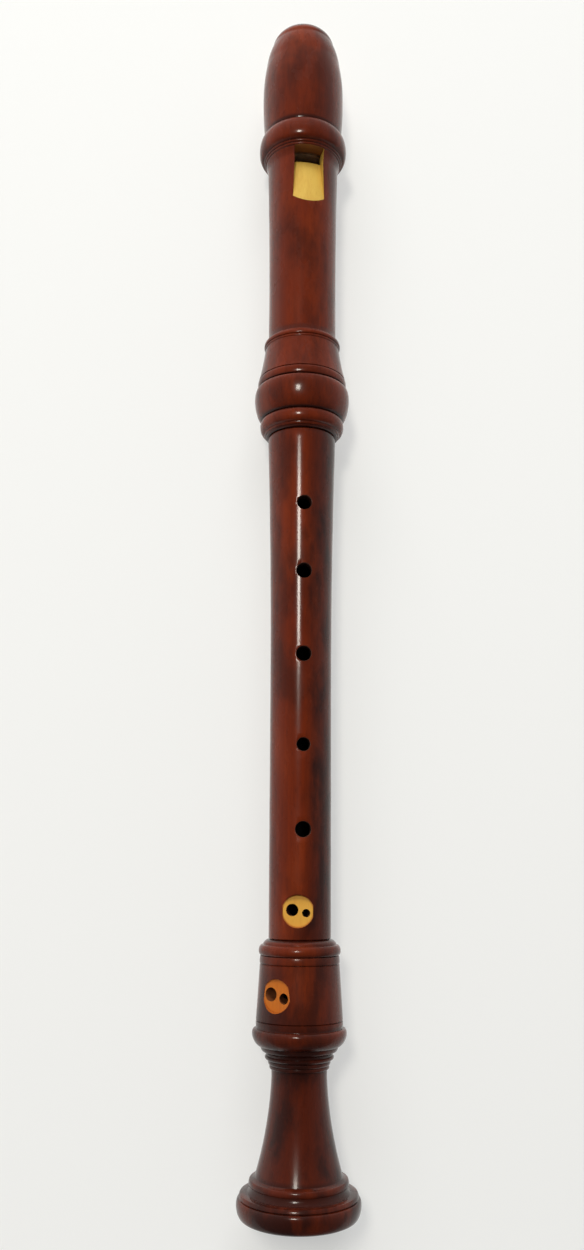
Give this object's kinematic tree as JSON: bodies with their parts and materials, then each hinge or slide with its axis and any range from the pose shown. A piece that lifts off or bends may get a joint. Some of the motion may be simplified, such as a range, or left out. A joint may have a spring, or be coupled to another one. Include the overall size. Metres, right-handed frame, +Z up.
{
  "type": "alto recorder",
  "caption": "Turned wooden alto recorder in separate joints with beaked head, cedar block, window and labium, and corked tenons.",
  "frame": {"origin": "on the surface that the bell bead rests on, under the middle of the recorder's length", "axes": "+Y along the bore from the foot to the beak, +Z up through the finger holes, +X across"},
  "size_m": [0.0452, 0.491, 0.0451],
  "materials": {
    "stained_wood": "satin",
    "dark_stained_wood": "satin",
    "cedar_wood": "matte",
    "cork_sheet": "matte"
  },
  "bodies": {
    "middle": {"middle_joint": "stained_wood"},
    "upper_lapping": {"upper_cork": "cork_sheet"},
    "head": {"head_joint": "stained_wood"},
    "fipple": {"block": "cedar_wood"},
    "lower_lapping": {"lower_cork": "cork_sheet"},
    "foot": {"foot_joint": "dark_stained_wood"}
  },
  "joints": [
    {"name": "head_turn", "type": "hinge", "parent": "middle", "child": "upper_lapping", "pos_m": [0, 0, 0.02257], "axis": [0, 1, 0], "continuous": true},
    {"name": "head_pull", "type": "slide", "parent": "upper_lapping", "child": "head", "axis": [0, 1, 0], "range_m": [0, 0.032]},
    {"name": "block_slide", "type": "slide", "parent": "head", "child": "fipple", "axis": [0, 1, 0], "range_m": [0, 0.07]},
    {"name": "foot_turn", "type": "hinge", "parent": "middle", "child": "lower_lapping", "pos_m": [0, 0, 0.02257], "axis": [0, 1, 0], "continuous": true},
    {"name": "foot_pull", "type": "slide", "parent": "lower_lapping", "child": "foot", "axis": [0, -1, 0], "range_m": [0, 0.02]}
  ]
}
